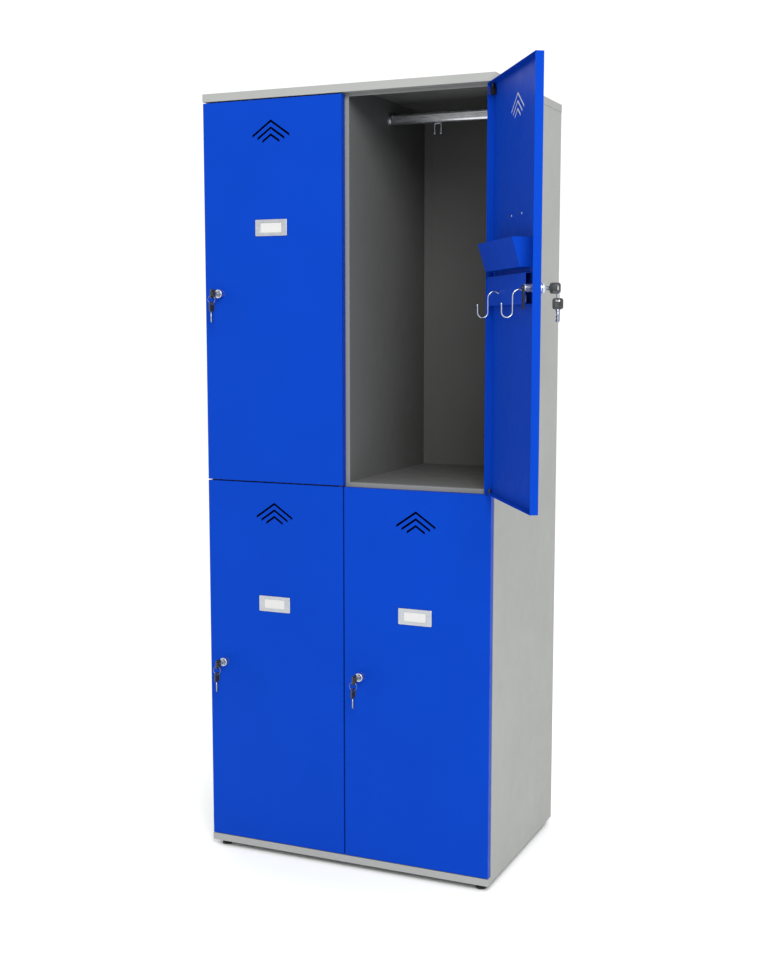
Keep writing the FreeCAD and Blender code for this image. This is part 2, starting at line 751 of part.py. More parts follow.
def door_key(name):
    """Key in the lock: blade, neck and a slotted plastic bow."""
    body, layer, opening = thin_body(name, "bow_thickness")
    layer("blade", "blade_thickness", lambda sketch: rectangle(
        sketch, (BOW_FRONT + " + bow_length - blade_tuck", NOSE + " + blade_depth"),
        (LOCK_Z + " - blade_width / 2", LOCK_Z + " + blade_width / 2")))
    layer("bow", "bow_thickness", lambda sketch: key_head(
        sketch, (BOW_FRONT, BOW_FRONT + " + bow_length"),
        (LOCK_Z + " - bow_height / 2", LOCK_Z + " + bow_height / 2")))
    opening("slot", lambda sketch: rectangle(
        sketch, (BOW_FRONT + " + bow_rim", BOW_FRONT + " + bow_rim + bow_slot_width"),
        (LOCK_Z + " - bow_slot_length / 2", LOCK_Z + " + bow_slot_length / 2")))
    return body


def spare_key(name):
    """Second key of the pair, hanging from the ring by its slot."""
    body, layer, opening = thin_body(name, "bow_thickness")
    layer("bow", "bow_thickness", lambda sketch: key_head(
        sketch, (RING_Y + " - bow_height / 2", RING_Y + " + bow_height / 2"),
        (SPARE_TOP + " - bow_length", SPARE_TOP)))
    layer("blade", "blade_thickness", lambda sketch: rectangle(
        sketch, (RING_Y + " - blade_width / 2", RING_Y + " + blade_width / 2"),
        (SPARE_TOP + " - bow_length - spare_blade",
                 SPARE_TOP + " - bow_length + blade_tuck")))
    opening("slot", lambda sketch: rectangle(
        sketch, (RING_Y + " - bow_slot_length / 2", RING_Y + " + bow_slot_length / 2"),
        (SPARE_SLOT_TOP + " - bow_slot_width", SPARE_SLOT_TOP)))
    return body


def key_ring(name):
    ring = doc.addObject("Part::Torus", name)
    ring.Placement = Placement(Vector(), AXIS_TURN["y"])
    bind(ring, "Radius1", "ring_radius")
    bind(ring, "Radius2", "ring_wire")
    place(ring, LOCK_X, RING_Y, RING_TOP + " - ring_radius")
    return ring


def s_hook(name, position):
    """Round wire bent into an S, its back end dropped through the channel's slot."""
    body = doc.addObject("PartDesign::Body", name)
    path = sketch_on(body, "YZ_Plane", "path")
    wire_x = "%s + %s" % (FREE_EDGE, position)
    bind(path, "AttachmentOffset.Base.z", wire_x)
    back_y = sheet_value(FACE + " + hook_back")
    middle_y = sheet_value(FACE + " + hook_middle")
    front_y = sheet_value(FACE + " + hook_front")
    arch_z = sheet_value(HOOK_ARCH_CENTRE)
    tail_z = arch_z - sheet_value("hook_tail")
    throat_z = sheet_value(HOOK_ARCH_TOP) - sheet_value("hook_throat") + (front_y - middle_y) / 2
    arch_radius = (middle_y - back_y) / 2
    throat_radius = (front_y - middle_y) / 2
    up = Vector(0, 0, 1)
    arch = Part.ArcOfCircle(Part.Circle(Vector(back_y + arch_radius, arch_z, 0), up, arch_radius),
                            0.0, math.pi)
    throat = Part.ArcOfCircle(
        Part.Circle(Vector(middle_y + throat_radius, throat_z, 0), up, throat_radius),
        math.pi, 2 * math.pi)
    tip_z = throat_z + sheet_value("hook_tip")
    path.addGeometry(Part.LineSegment(Vector(back_y, tail_z, 0), Vector(back_y, arch_z, 0)), False)
    path.addGeometry(arch, False)
    path.addGeometry(Part.LineSegment(Vector(middle_y, arch_z, 0), Vector(middle_y, throat_z, 0)),
                     False)
    path.addGeometry(throat, False)
    path.addGeometry(Part.LineSegment(Vector(front_y, throat_z, 0), Vector(front_y, tip_z, 0)),
                     False)
    for pair in ((0, 2, 1, 2), (1, 1, 2, 1), (2, 2, 3, 1), (3, 2, 4, 1)):
        path.addConstraint(Sketcher.Constraint("Tangent", *pair))
    for line in (0, 2, 4):
        path.addConstraint(Sketcher.Constraint("Vertical", line))
    pin_point(path, 0, 1, FACE + " + hook_back", "%s - hook_tail" % HOOK_ARCH_CENTRE)
    pin_point(path, 1, 3, "%s + hook_back + %s" % (FACE, HOOK_ARCH_RADIUS), HOOK_ARCH_CENTRE)
    pin_point(path, 3, 3, FACE + " + (hook_middle + hook_front) / 2",
              "%s - hook_throat + (hook_front - hook_middle) / 2" % HOOK_ARCH_TOP)
    tip = path.addConstraint(Sketcher.Constraint("DistanceY", 4, 1, 4, 2,
                                                 sheet_value("hook_tip")))
    bind(path, "Constraints[%d]" % tip, "hook_tip")
    section = sketch_on(body, "XY_Plane", "section")
    bind(section, "AttachmentOffset.Base.z", "%s - hook_tail" % HOOK_ARCH_CENTRE)
    circle(section, wire_x, FACE + " + hook_back", "hook_wire")
    doc.recompute()
    pipe = body.newObject("PartDesign::AdditivePipe", "wire")
    pipe.Profile = section
    pipe.Spine = path
    for sketch in (path, section):
        sketch.Visibility = False
    return body


def door_bin(name):
    """Shallow folded bin: leaning front, two ends, floor and back, open on top."""
    low_z = LOCK_Z + " + bin_rise"
    high_z = low_z + " + bin_height"

    def profile(body, label, inset, x_low, length):
        sketch = sketch_on(body, "YZ_Plane", label)
        bind(sketch, "AttachmentOffset.Base.z", x_low)
        polygon(sketch, [
            ("%s + %s" % (SKIN_BACK, inset), "%s + %s" % (low_z, inset)),
            ("%s + bin_foot - %s" % (FACE, inset), "%s + %s" % (low_z, inset)),
            ("%s + bin_mouth - %s" % (FACE, inset), high_z),
            ("%s + %s" % (SKIN_BACK, inset), high_z),
        ])
        sketch.Visibility = False
        return sketch

    body = doc.addObject("PartDesign::Body", name)
    start = FREE_EDGE + " + bin_start"
    pad(body, profile(body, "outside", "0", start, "bin_length"), "bin_length")
    inside = profile(body, "inside", "sheet", start + " + sheet", "bin_length - 2 * sheet")
    scoop = body.newObject("PartDesign::Pocket", "Pocket")
    scoop.Profile = inside
    scoop.Reversed = True
    bind(scoop, "Length", "bin_length - 2 * sheet")
    return body


DOORS = {
    "upper_left": ("left", UPPER_FOOT, "0"),
    "upper_right": ("right", UPPER_FOOT, "open_angle"),
    "lower_left": ("left", LOWER_FOOT, "0"),
    "lower_right": ("right", LOWER_FOOT, "0"),
}


def hang(item, hinge_x, foot, angle):
    """Put a piece drawn in the door frame where its door hangs."""
    turned = item
    if not item.isDerivedFrom("PartDesign::Body"):
        turned = compound([item], item.Name + "_hung")
    turned.Placement = Placement(Vector(), Rotation(Vector(0, 0, 1), 1))
    bind(turned, "Placement.Rotation.Angle", angle)
    place(turned, hinge_x, HINGE_Y, foot)
    return turned


for door, (column, foot, angle) in DOORS.items():
    hooks = ["hook_first", "hook_second"] if door == "upper_right" else []
    pieces = {
        "door_panel": door_panel("door_panel_" + door),
        "door_channel": channel("door_channel_" + door, hooks),
        "label_holder": label_holder("label_holder_" + door),
        "label_card": label_card("label_card_" + door),
        "lock_case": lock_case("lock_case_" + door),
        "lock_plug": lock_plug("lock_plug_" + door),
        "lock_cam": lock_cam("lock_cam_" + door),
        "key": door_key("key_" + door),
        "key_ring": key_ring("key_ring_" + door),
        "spare_key": spare_key("spare_key_" + door),
    }
    if hooks:
        pieces["door_bin"] = door_bin("door_bin_" + door)
        pieces["s_hook_outer"] = s_hook("s_hook_outer_" + door, hooks[0])
        pieces["s_hook_inner"] = s_hook("s_hook_inner_" + door, hooks[1])
    for piece, item in pieces.items():
        keep(hang(item, HINGE_X[column], foot, angle), "%s_%s" % (piece, door))

doc.recompute()

# ------------------------------------------------------------ check and write
for item in doc.Objects:
    broken = [state for state in item.State if state in ("Invalid", "Error")]
    if broken:
        raise RuntimeError("%s is %s" % (item.Label, broken))

os.makedirs("parts", exist_ok=True)
for node, item in PARTS:
    shape = item.Shape
    if shape.isNull() or not shape.isValid():
        raise RuntimeError("%s has no valid shape" % node)
    shape.exportStep("parts/%s.step" % node)
print("%d parts written" % len(PARTS))
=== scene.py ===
"""Locker cabinet: looks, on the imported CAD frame.  Metres, +Z up, doors towards -Y."""
import json
import math

import bmesh
import bpy
from mathutils import Matrix, Vector


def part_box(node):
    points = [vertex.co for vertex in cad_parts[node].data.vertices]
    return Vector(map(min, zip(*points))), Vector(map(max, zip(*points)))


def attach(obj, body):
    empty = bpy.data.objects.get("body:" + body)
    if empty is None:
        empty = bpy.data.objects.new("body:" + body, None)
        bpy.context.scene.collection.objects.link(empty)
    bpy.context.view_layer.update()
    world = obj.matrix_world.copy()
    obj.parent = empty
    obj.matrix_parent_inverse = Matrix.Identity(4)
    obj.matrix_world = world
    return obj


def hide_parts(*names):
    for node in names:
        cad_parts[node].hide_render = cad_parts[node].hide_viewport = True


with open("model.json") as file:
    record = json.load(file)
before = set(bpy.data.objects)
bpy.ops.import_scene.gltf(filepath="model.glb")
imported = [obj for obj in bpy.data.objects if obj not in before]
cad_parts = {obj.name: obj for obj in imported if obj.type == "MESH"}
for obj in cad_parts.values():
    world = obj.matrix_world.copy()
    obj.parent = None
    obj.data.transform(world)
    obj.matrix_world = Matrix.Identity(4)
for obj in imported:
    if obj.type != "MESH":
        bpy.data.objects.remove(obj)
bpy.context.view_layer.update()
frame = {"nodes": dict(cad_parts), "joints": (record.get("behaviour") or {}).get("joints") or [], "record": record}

NODES = frame["nodes"]
JOINTS = {joint["name"]: joint for joint in frame["joints"]}
SLOT_OF = {part["node"]: part["material_slot"] for part in frame["record"]["subparts"]}

MM = 0.001
CABINET_WIDTH = 715.0 * MM
CABINET_DEPTH = 485.0 * MM
CABINET_HEIGHT = 1800.0 * MM

# ------------------------------------------------------------------ materials


def new_material(name):
    material = bpy.data.materials.new(name)
    material.use_nodes = True
    tree = material.node_tree
    shader = tree.nodes["Principled BSDF"]
    return material, tree, shader


def noise(tree, scale, detail=4.0, roughness=0.55, stretch=(1, 1, 1)):
    """Noise in the object's own metres."""
    place = tree.nodes.new("ShaderNodeTexCoord")
    mapping = tree.nodes.new("ShaderNodeMapping")
    mapping.inputs["Scale"].default_value = stretch
    texture = tree.nodes.new("ShaderNodeTexNoise")
    texture.inputs["Scale"].default_value = scale
    texture.inputs["Detail"].default_value = detail
    texture.inputs["Roughness"].default_value = roughness
    tree.links.new(place.outputs["Object"], mapping.inputs["Vector"])
    tree.links.new(mapping.outputs["Vector"], texture.inputs["Vector"])
    return texture.outputs["Fac"]


def between(tree, factor, low, high, start=0.3, end=0.7):
    """A ramp from low to high; each is a grey value or an RGB triple."""
    ramp = tree.nodes.new("ShaderNodeValToRGB")
    for element, value, place in zip(ramp.color_ramp.elements, (low, high), (start, end)):
        rgb = (value,) * 3 if isinstance(value, (int, float)) else value
        element.color = (*rgb, 1)
        element.position = place
    tree.links.new(factor, ramp.inputs["Fac"])
    return ramp.outputs["Color"]


def bump(tree, shader, height, distance, strength):
    """Relief of a height field, on top of any relief the shader already has."""
    node = tree.nodes.new("ShaderNodeBump")
    node.inputs["Distance"].default_value = distance
    node.inputs["Strength"].default_value = strength
    tree.links.new(height, node.inputs["Height"])
    previous = shader.inputs["Normal"].links
    if previous:
        tree.links.new(previous[0].from_socket, node.inputs["Normal"])
    tree.links.new(node.outputs["Normal"], shader.inputs["Normal"])


def shade(rgb, factor):
    return tuple(channel * factor for channel in rgb)


# Limits of the painted shade, just under the outer skins, so that only inward faces fall inside them.
SKIN_MARGIN = 1.2 * MM
FRONT_MARGIN = 19.0 * MM
LID_MARGIN = 0.5 * MM
INSIDE = {"X": (-CABINET_WIDTH / 2 + SKIN_MARGIN, CABINET_WIDTH / 2 - SKIN_MARGIN),
          "Y": (-CABINET_DEPTH / 2 + FRONT_MARGIN, CABINET_DEPTH / 2 - SKIN_MARGIN),
          "Z": (0.0, CABINET_HEIGHT - LID_MARGIN)}
LIP = 0.05                # the frame's front lip, as a share of the inside depth


def paint_inside_shade(tree, shader, front, behind_lip, back):
    """Painted shade: darker inward faces, more so with depth, standing in for the shade that an even studio light
    leaves out.
    """
    place = tree.nodes.new("ShaderNodeTexCoord")
    split = tree.nodes.new("ShaderNodeSeparateXYZ")
    tree.links.new(place.outputs["Object"], split.inputs["Vector"])
    inside = None
    for axis, (low, high) in INSIDE.items():
        for operation, limit in (("GREATER_THAN", low), ("LESS_THAN", high)):
            test = tree.nodes.new("ShaderNodeMath")
            test.operation = operation
            test.inputs[1].default_value = limit
            tree.links.new(split.outputs[axis], test.inputs[0])
            if inside is None:
                inside = test.outputs[0]
                continue
            both = tree.nodes.new("ShaderNodeMath")
            both.operation = "MULTIPLY"
            tree.links.new(inside, both.inputs[0])
            tree.links.new(test.outputs[0], both.inputs[1])
            inside = both.outputs[0]
    depth = tree.nodes.new("ShaderNodeMapRange")
    depth.inputs["From Min"].default_value = INSIDE["Y"][0]
    depth.inputs["From Max"].default_value = INSIDE["Y"][1]
    tree.links.new(split.outputs["Y"], depth.inputs["Value"])
    tone = between(tree, depth.outputs["Result"], front, back, start=0.0, end=1.0)
    stop = tone.node.color_ramp.elements.new(LIP)
    stop.color = (behind_lip, behind_lip, behind_lip, 1)
    mix = tree.nodes.new("ShaderNodeMix")
    mix.data_type = "RGBA"
    mix.blend_type = "MULTIPLY"
    tree.links.new(inside, mix.inputs["Factor"])
    colour = shader.inputs["Base Color"].links[0].from_socket
    tree.links.new(colour, mix.inputs["A"])
    tree.links.new(tone, mix.inputs["B"])
    tree.links.new(mix.outputs["Result"], shader.inputs["Base Color"])


def powder_coat(name, rgb, rough, specular, tint, inside_shade=None):
    """Baked powder paint: fine orange peel, faint cloudiness, a few duller patches, and, when asked for, painted
    shade on inward faces.
    """
    material, tree, shader = new_material(name)
    clouds = noise(tree, scale=5.0, detail=3.0)
    tree.links.new(between(tree, clouds, shade(rgb, 0.97), shade(rgb, 1.03)),
                   shader.inputs["Base Color"])
    patches = noise(tree, scale=22.0, detail=5.0)
    tree.links.new(between(tree, patches, rough - 0.05, rough + 0.06),
                   shader.inputs["Roughness"])
    bump(tree, shader, noise(tree, scale=900.0, detail=2.0), distance=0.03 * MM, strength=0.5)
    bump(tree, shader, noise(tree, scale=14.0, detail=2.0), distance=0.10 * MM, strength=0.3)
    shader.inputs["Specular IOR Level"].default_value = specular
    shader.inputs["Specular Tint"].default_value = (*tint, 1)
    # Painted shade on the inward faces, darker towards the back.
    if inside_shade:
        paint_inside_shade(tree, shader, *inside_shade)
    return material


def metal(name, rgb, rough, stretch=(1, 1, 1), grain=700.0):
    """Bare or plated metal with a drawn or tumbled grain and faint handling marks."""
    material, tree, shader = new_material(name)
    shader.inputs["Metallic"].default_value = 1.0
    grain_factor = noise(tree, grain, detail=5.0, roughness=0.6, stretch=stretch)
    marks = noise(tree, scale=60.0)
    tree.links.new(between(tree, marks, shade(rgb, 0.88), rgb), shader.inputs["Base Color"])
    tree.links.new(between(tree, grain_factor, rough * 0.75, rough * 1.4),
                   shader.inputs["Roughness"])
    bump(tree, shader, grain_factor, distance=0.02 * MM, strength=0.5)
    return material


def plastic(name, rgb, rough):
    """Moulded plastic with a fine pebbled grain."""
    material, tree, shader = new_material(name)
    tree.links.new(between(tree, noise(tree, scale=40.0), shade(rgb, 0.8), shade(rgb, 1.2)),
                   shader.inputs["Base Color"])
    tree.links.new(between(tree, noise(tree, scale=120.0), rough - 0.07, rough + 0.09),
                   shader.inputs["Roughness"])
    bump(tree, shader, noise(tree, scale=1500.0, detail=3.0), distance=0.03 * MM, strength=0.6)
    return material


def paper(name, rgb):
    """Plain card with faint fibres."""
    material, tree, shader = new_material(name)
    fibres = noise(tree, scale=1200.0, detail=6.0, roughness=0.7, stretch=(1, 1, 0.35))
    tree.links.new(between(tree, fibres, shade(rgb, 0.965), rgb), shader.inputs["Base Color"])
    bump(tree, shader, fibres, distance=0.02 * MM, strength=0.4)
    shader.inputs["Roughness"].default_value = 0.78
    return material


BLUE = (0.0024, 0.038, 0.345)
GREY = (0.285, 0.290, 0.279)
MATERIALS = {
    # The carcass paint carries painted shade on its inward faces: the share of colour kept at the front, just
    # behind the lip and at the back.
    "carcass_paint": powder_coat("carcass_paint", GREY, rough=0.5, specular=0.15,
                                 tint=(1, 1, 1), inside_shade=(0.70, 0.49, 0.28)),
    "door_paint": powder_coat("door_paint", BLUE, rough=0.42, specular=0.12,
                              tint=(0.04, 0.22, 1.0)),
    "zinc_steel": metal("zinc_steel", (0.47, 0.50, 0.54), 0.26),
    "oiled_steel": metal("oiled_steel", (0.045, 0.045, 0.050), 0.45, grain=500.0),
    "rod_aluminium": metal("rod_aluminium", (0.80, 0.82, 0.85), 0.3, stretch=(0.03, 1, 1)),
    "socket_paint": metal("socket_paint", (0.34, 0.36, 0.37), 0.4),
    "lock_chrome": metal("lock_chrome", (0.50, 0.54, 0.60), 0.16, grain=300.0),
    "label_frame": metal("label_frame", (0.50, 0.52, 0.55), 0.38, stretch=(0.1, 1, 1)),
    "card": paper("card", (0.50, 0.50, 0.49)),
    "key_plastic": plastic("key_plastic", (0.022, 0.024, 0.027), 0.4),
    "foot_plastic": plastic("foot_plastic", (0.010, 0.010, 0.011), 0.55),
}
KEY_METAL = metal("key_metal", (0.34, 0.37, 0.42), 0.3, grain=500.0)
RING_WIRE = metal("ring_wire", (0.24, 0.27, 0.32), 0.35, grain=500.0)
LOCK_BODY = metal("lock_body", (0.56, 0.60, 0.66), 0.36, grain=300.0)
BLACK_PLASTIC = plastic("spring_housing_plastic", (0.004, 0.004, 0.005), 0.6)
BLACK_PLASTIC.node_tree.nodes["Principled BSDF"].inputs["Specular IOR Level"].default_value = 0.2

# ------------------------------------------------------- edges of CAD pieces
EDGE_WIDTH = 0.3 * MM
OTHER_EDGE_WIDTHS = {"door_bin": 0.35 * MM, "lock_cam": 0.4 * MM, "label_card": 0.1 * MM}
# The door pans have their bend radii from CAD, and the back sheet shows only its flat face.
PLAIN_EDGES = ("door_panel", "back_panel")


def finish_edges(obj, width):
    """Rounded edges that catch the light, on smooth-shaded faces."""
    weld = obj.modifiers.new("weld", "WELD")
    weld.merge_threshold = 0.01 * MM
    bevel = obj.modifiers.new("edges", "BEVEL")
    bevel.width = width
    bevel.segments = 2
    bevel.limit_method = "ANGLE"
    bevel.angle_limit = math.radians(35)
    bevel.harden_normals = True


for node, obj in NODES.items():
    obj.data.materials.clear()
    obj.data.materials.append(MATERIALS[SLOT_OF[node]])
    if not node.startswith(PLAIN_EDGES):
        widths = [width for start, width in OTHER_EDGE_WIDTHS.items() if node.startswith(start)]
        finish_edges(obj, widths[0] if widths else EDGE_WIDTH)

# ------------------------------------------------------------- mesh helpers


def add(name, mesh, slot, body, material=None, replaces=(), matrix=None):
    """A finished piece: placed, painted, riding on its body."""
    obj = bpy.data.objects.new(name, mesh)
    bpy.context.scene.collection.objects.link(obj)
    if matrix is not None:
        mesh.transform(matrix)
    if not mesh.materials:
        mesh.materials.append(material or MATERIALS[slot])
    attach(obj, body)
    if replaces:
        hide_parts(*replaces)
    return obj


def mesh_from(build, name, smooth=True):
    """A mesh made by build(bm)."""
    mesh = bpy.data.meshes.new(name)
    bm = bmesh.new()
    build(bm)
    bmesh.ops.remove_doubles(bm, verts=bm.verts, dist=1e-7)
    bmesh.ops.recalc_face_normals(bm, faces=bm.faces)
    bm.to_mesh(mesh)
    bm.free()
    if smooth:
        mesh.shade_smooth()
    return mesh


def join(meshes, name):
    """One mesh from several, each keeping its material."""
    bm = bmesh.new()
    materials = []
    for mesh, material in meshes:
        if material not in materials:
            materials.append(material)
        before = len(bm.faces)
        bm.from_mesh(mesh)
        bm.faces.ensure_lookup_table()
        for face in bm.faces[before:]:
            face.material_index = materials.index(material)
    joined = bpy.data.meshes.new(name)
    bm.to_mesh(joined)
    bm.free()
    for material in materials:
        joined.materials.append(material)
    joined.shade_smooth()
    return joined


def bridge(bm, first, second):
    """Faces between two rings of as many vertices."""
    count = len(first)
    for index in range(count):
        following = (index + 1) % count
        bm.faces.new((first[index], first[following], second[following], second[index]))


def lathe(bm, profile, origin, axis, steps=64):
    """Turns (radius, height) pairs, in metres, about axis through origin."""
    axis = Vector(axis).normalized()
    side = axis.orthogonal().normalized()
    rings = []
    for radius, height in profile:
        ring = []
        for step in range(steps):
            turn = Matrix.Rotation(2 * math.pi * step / steps, 3, axis)
            ring.append(bm.verts.new(Vector(origin) + axis * height + turn @ side * radius))
        rings.append(ring)
    for low, high in zip(rings, rings[1:]):
        bridge(bm, low, high)


def in_metres(profile):
    """A profile written in millimetres."""
    return [(radius * MM, height * MM) for radius, height in profile]


def thread_profile(crest, root, low, high, pitch, fall):
    """Ridges of a screw thread, as (radius, height) pairs; each falls to its root in fall."""
    profile = []
    height = low
    while height < high:
        profile += [(crest, height), (root, height + fall)]
        height += pitch
    return profile


def rivet(bm, centre, radius, rise, direction):
    """Domed rivet head."""
    profile = [(radius, 0.0), (radius * 0.95, rise * 0.45), (radius * 0.72, rise * 0.82),
               (radius * 0.38, rise * 0.97), (0.0001 * MM, rise)]
    lathe(bm, profile, centre, direction, 24)


def ball(bm, centre, radius):
    bmesh.ops.create_uvsphere(bm, u_segments=24, v_segments=16, radius=radius,
                              matrix=Matrix.Translation(Vector(centre)))


def rounded_rectangle(width, height, corner, steps=6):
    """Corner-rounded outline about the origin, as (u, v) pairs."""
    points = []
    for turn, (sx, sy) in enumerate(((1, 1), (-1, 1), (-1, -1), (1, -1))):
        for step in range(steps + 1):
            angle = math.pi / 2 * (turn + step / steps)
            points.append((sx * (width / 2 - corner) + corner * math.cos(angle),
                           sy * (height / 2 - corner) + corner * math.sin(angle)))
    return points


def grown(outline, amount):
    """The outline moved outward from its own middle, or inward if amount is below zero."""
    middle_u = sum(u for u, _ in outline) / len(outline)
    middle_v = sum(v for _, v in outline) / len(outline)
    points = []
    for u, v in outline:
        du, dv = u - middle_u, v - middle_v
        reach = max(math.hypot(du, dv), 1e-9)
        points.append((u + amount * du / reach, v + amount * dv / reach))
    return points


def frame_plate(bm, outer, inner, levels, place):
    """A ring-shaped plate.  levels are (offset out, offset in, height); place maps (u, v, h)."""
    outer_rings, inner_rings = [], []
    for out, into, height in levels:
        outer_rings.append([bm.verts.new(place(u, v, height)) for u, v in grown(outer, out)])
        inner_rings.append([bm.verts.new(place(u, v, height)) for u, v in grown(inner, into)])
    for rings in (outer_rings, inner_rings):
        for low, high in zip(rings, rings[1:]):
            bridge(bm, low, high)
    bridge(bm, outer_rings[0], inner_rings[0])
    bridge(bm, outer_rings[-1], inner_rings[-1])


def slab(bm, outline, low, high, place, edge):
    """A solid plate with softened rims; outline is (u, v), place maps (u, v, h)."""
    soft = edge * 0.3
    levels = ((edge, low), (soft, low + soft), (0, low + edge),
              (0, high - edge), (soft, high - soft), (edge, high))
    rings = [[bm.verts.new(place(u, v, height)) for u, v in grown(outline, -inset)]
             for inset, height in levels]
    for first, second in zip(rings, rings[1:]):
        bridge(bm, first, second)
    bm.faces.new(rings[0])
    bm.faces.new(rings[-1])


def wire(name, points, radius, resolution=6):
    """A round wire through points, as a mesh."""
    curve = bpy.data.curves.new(name, "CURVE")
    curve.dimensions = "3D"
    curve.bevel_depth = radius
    curve.bevel_resolution = resolution
    curve.use_fill_caps = True
    curve.resolution_u = 8
    spline = curve.splines.new("NURBS")
    spline.points.add(len(points) - 1)
    for point, place in zip(spline.points, points):
        point.co = (*place, 1)
    spline.order_u = 3
    spline.use_endpoint_u = True
    obj = bpy.data.objects.new(name, curve)
    bpy.context.scene.collection.objects.link(obj)
    bpy.context.view_layer.update()
    mesh = bpy.data.meshes.new_from_object(
        obj.evaluated_get(bpy.context.evaluated_depsgraph_get()))
    bpy.data.objects.remove(obj)
    mesh.name = name
    mesh.shade_smooth()
    return mesh


# ----------------------------------------------------------- door dimensions
# Door frame: origin on the hinge line at the door's foot, +Y into the cabinet when closed.
DOOR_WIDTH = 355.0 * MM
DOOR_HEIGHT = 871.5 * MM
HINGE_INSET = 6.5 * MM                            # hinge line in from the door's edge
FACE = -6.5 * MM                                  # door's outer face
SHEET = 0.8 * MM
BACK_OF_SKIN = FACE + SHEET
FREE_EDGE = HINGE_INSET - DOOR_WIDTH

LOCK_X = FREE_EDGE + 44.0 * MM
LOCK_Z = DOOR_HEIGHT / 2
NOSE = FACE - 19.0 * MM                           # front of the lock housing

BOW_FRONT = NOSE - 33.0 * MM                      # front of the key in the lock
RING_Y = BOW_FRONT + 5.2 * MM
RING_TOP = LOCK_Z - 4.1 * MM
RING_RADIUS = 9.3 * MM
SPARE_TOP = RING_TOP - 2 * RING_RADIUS + 3.9 * MM  # top of the hanging key

LABEL_X = HINGE_INSET - DOOR_WIDTH / 2 - 1.0 * MM
LABEL_Z = LOCK_Z + 149.0 * MM

REST_ANGLE = {"upper_left": 0.0, "upper_right": 124.1, "lower_left": 0.0, "lower_right": 0.0}


def door_matrix(door):
    """Door frame to cabinet, at rest.  The hinge joint sits at the door's mid-height."""
    x, y, z = JOINTS["door_hinge_" + door]["pos_m"]
    turn = Matrix.Rotation(math.radians(REST_ANGLE[door]), 4, "Z")
    return Matrix.Translation((x, y, z - LOCK_Z)) @ turn


# --------------------------------------------------------------------- locks
# (radius, distance behind the nose), millimetres
LOCK_HOUSING = ((6.2, 0.9), (6.9, 0.8), (7.2, 0.1), (8.4, 0.0), (9.5, 0.4), (9.95, 1.2),
                (10.0, 5.2), (9.7, 5.9), (9.1, 6.2), (8.9, 6.8), (8.6, 12.0), (8.2, 17.6),
                (8.2, 19.0))
KEYWAY = ((6.1, 14.0), (6.1, 0.4), (6.2, 0.6))
BARREL = ((8.0, 19.0),
          *thread_profile(crest=8.0, root=7.45, low=19.8, high=38.5, pitch=1.0, fall=0.5),
          (8.0, 39.0), (7.8, 39.9), (7.2, 40.4), (6.2, 40.5))
NUT_FLATS = 20 * MM
NUT_HEIGHT = 4 * MM
NUT_HOLE = 8 * MM


def lock_housing(bm):
    """Wide rim in front, a tapering body down to the skin and a threaded barrel behind."""
    for profile, steps in ((LOCK_HOUSING, 64), (KEYWAY, 64), (BARREL, 48)):
        lathe(bm, in_metres(profile), (LOCK_X, NOSE, LOCK_Z), (0, 1, 0), steps)


def hexagon_nut(bm, centre, flats, height, hole):
    """Nut about +Y with chamfered corners, standing on centre."""
    chamfer = 0.6 * MM
    face_radius = flats * 0.47
    corner = flats / math.sqrt(3)

    def ring(radius, level, corners=True, steps=72):
        points = []
        for step in range(steps):
            angle = 2 * math.pi * step / steps
            reach = radius
            if corners:
                fold = (angle + math.pi / 6) % (math.pi / 3) - math.pi / 6
                reach = min(radius, flats / 2 / math.cos(fold))
            points.append(bm.verts.new((centre[0] + reach * math.cos(angle), centre[1] + level,
                                        centre[2] + reach * math.sin(angle))))
        return points
    rings = [ring(hole, 0.0, corners=False), ring(face_radius, 0.0), ring(corner, chamfer),
             ring(corner, height - chamfer), ring(face_radius, height),
             ring(hole, height, corners=False)]
    for first, second in zip(rings, rings[1:]):
        bridge(bm, first, second)


def lock_nut(bm):
    hexagon_nut(bm, (LOCK_X, BACK_OF_SKIN, LOCK_Z), NUT_FLATS, NUT_HEIGHT, NUT_HOLE)


def add_lock(door, hung):
    add("lock_case_detail_" + door,
        join([(mesh_from(lock_housing, "housing"), LOCK_BODY),
              (mesh_from(lock_nut, "nut"), MATERIALS["zinc_steel"])], "lock_case_detail"),
        "lock_chrome", "door_" + door, replaces=["lock_case_" + door], matrix=hung)


# -------------------------------------------------------------------- labels
FRAME_SIZE = (81 * MM, 37 * MM)
FRAME_CORNER = 2.4 * MM
WINDOW_SIZE = (55 * MM, 23 * MM)
WINDOW_CORNER = 1.2 * MM
# (frame's edge grown by, window's edge grown by, height off the door), millimetres
FRAME_LEVELS = ((0.5, 0.9, 0.0), (0.5, 0.6, 1.3), (0.1, 0.1, 2.1), (-0.9, 1.0, 2.4),
                (-1.5, 1.6, 2.4))
RIVET_OFFSET = 37 * MM


def label_frame(bm):
    """Pressed frame round the card window with rolled edges, and its two rivets."""
    def place(u, v, h):
        return Vector((LABEL_X + u, FACE - h, LABEL_Z + v))
    frame_plate(bm, rounded_rectangle(*FRAME_SIZE, FRAME_CORNER),
                rounded_rectangle(*WINDOW_SIZE, WINDOW_CORNER),
                [tuple(value * MM for value in level) for level in FRAME_LEVELS], place)
    for side in (-1, 1):
        rivet(bm, (LABEL_X + side * RIVET_OFFSET, FACE - 2.3 * MM, LABEL_Z),
              radius=1.9 * MM, rise=0.7 * MM, direction=(0, -1, 0))


def rear_rivets(bm):
    """The same rivets' tails, inside the door."""
    for side in (-1, 1):
        rivet(bm, (LABEL_X + side * RIVET_OFFSET, BACK_OF_SKIN, LABEL_Z),
              radius=2.6 * MM, rise=1.0 * MM, direction=(0, 1, 0))


def add_label(door, hung):
    body = "door_" + door
    add("label_frame_detail_" + door, mesh_from(label_frame, "label_frame_detail"),
        "label_frame", body, replaces=["label_holder_" + door], matrix=hung)
    add("label_rear_rivets_" + door, mesh_from(rear_rivets, "label_rear_rivets"), "zinc_steel",
        body, matrix=hung)


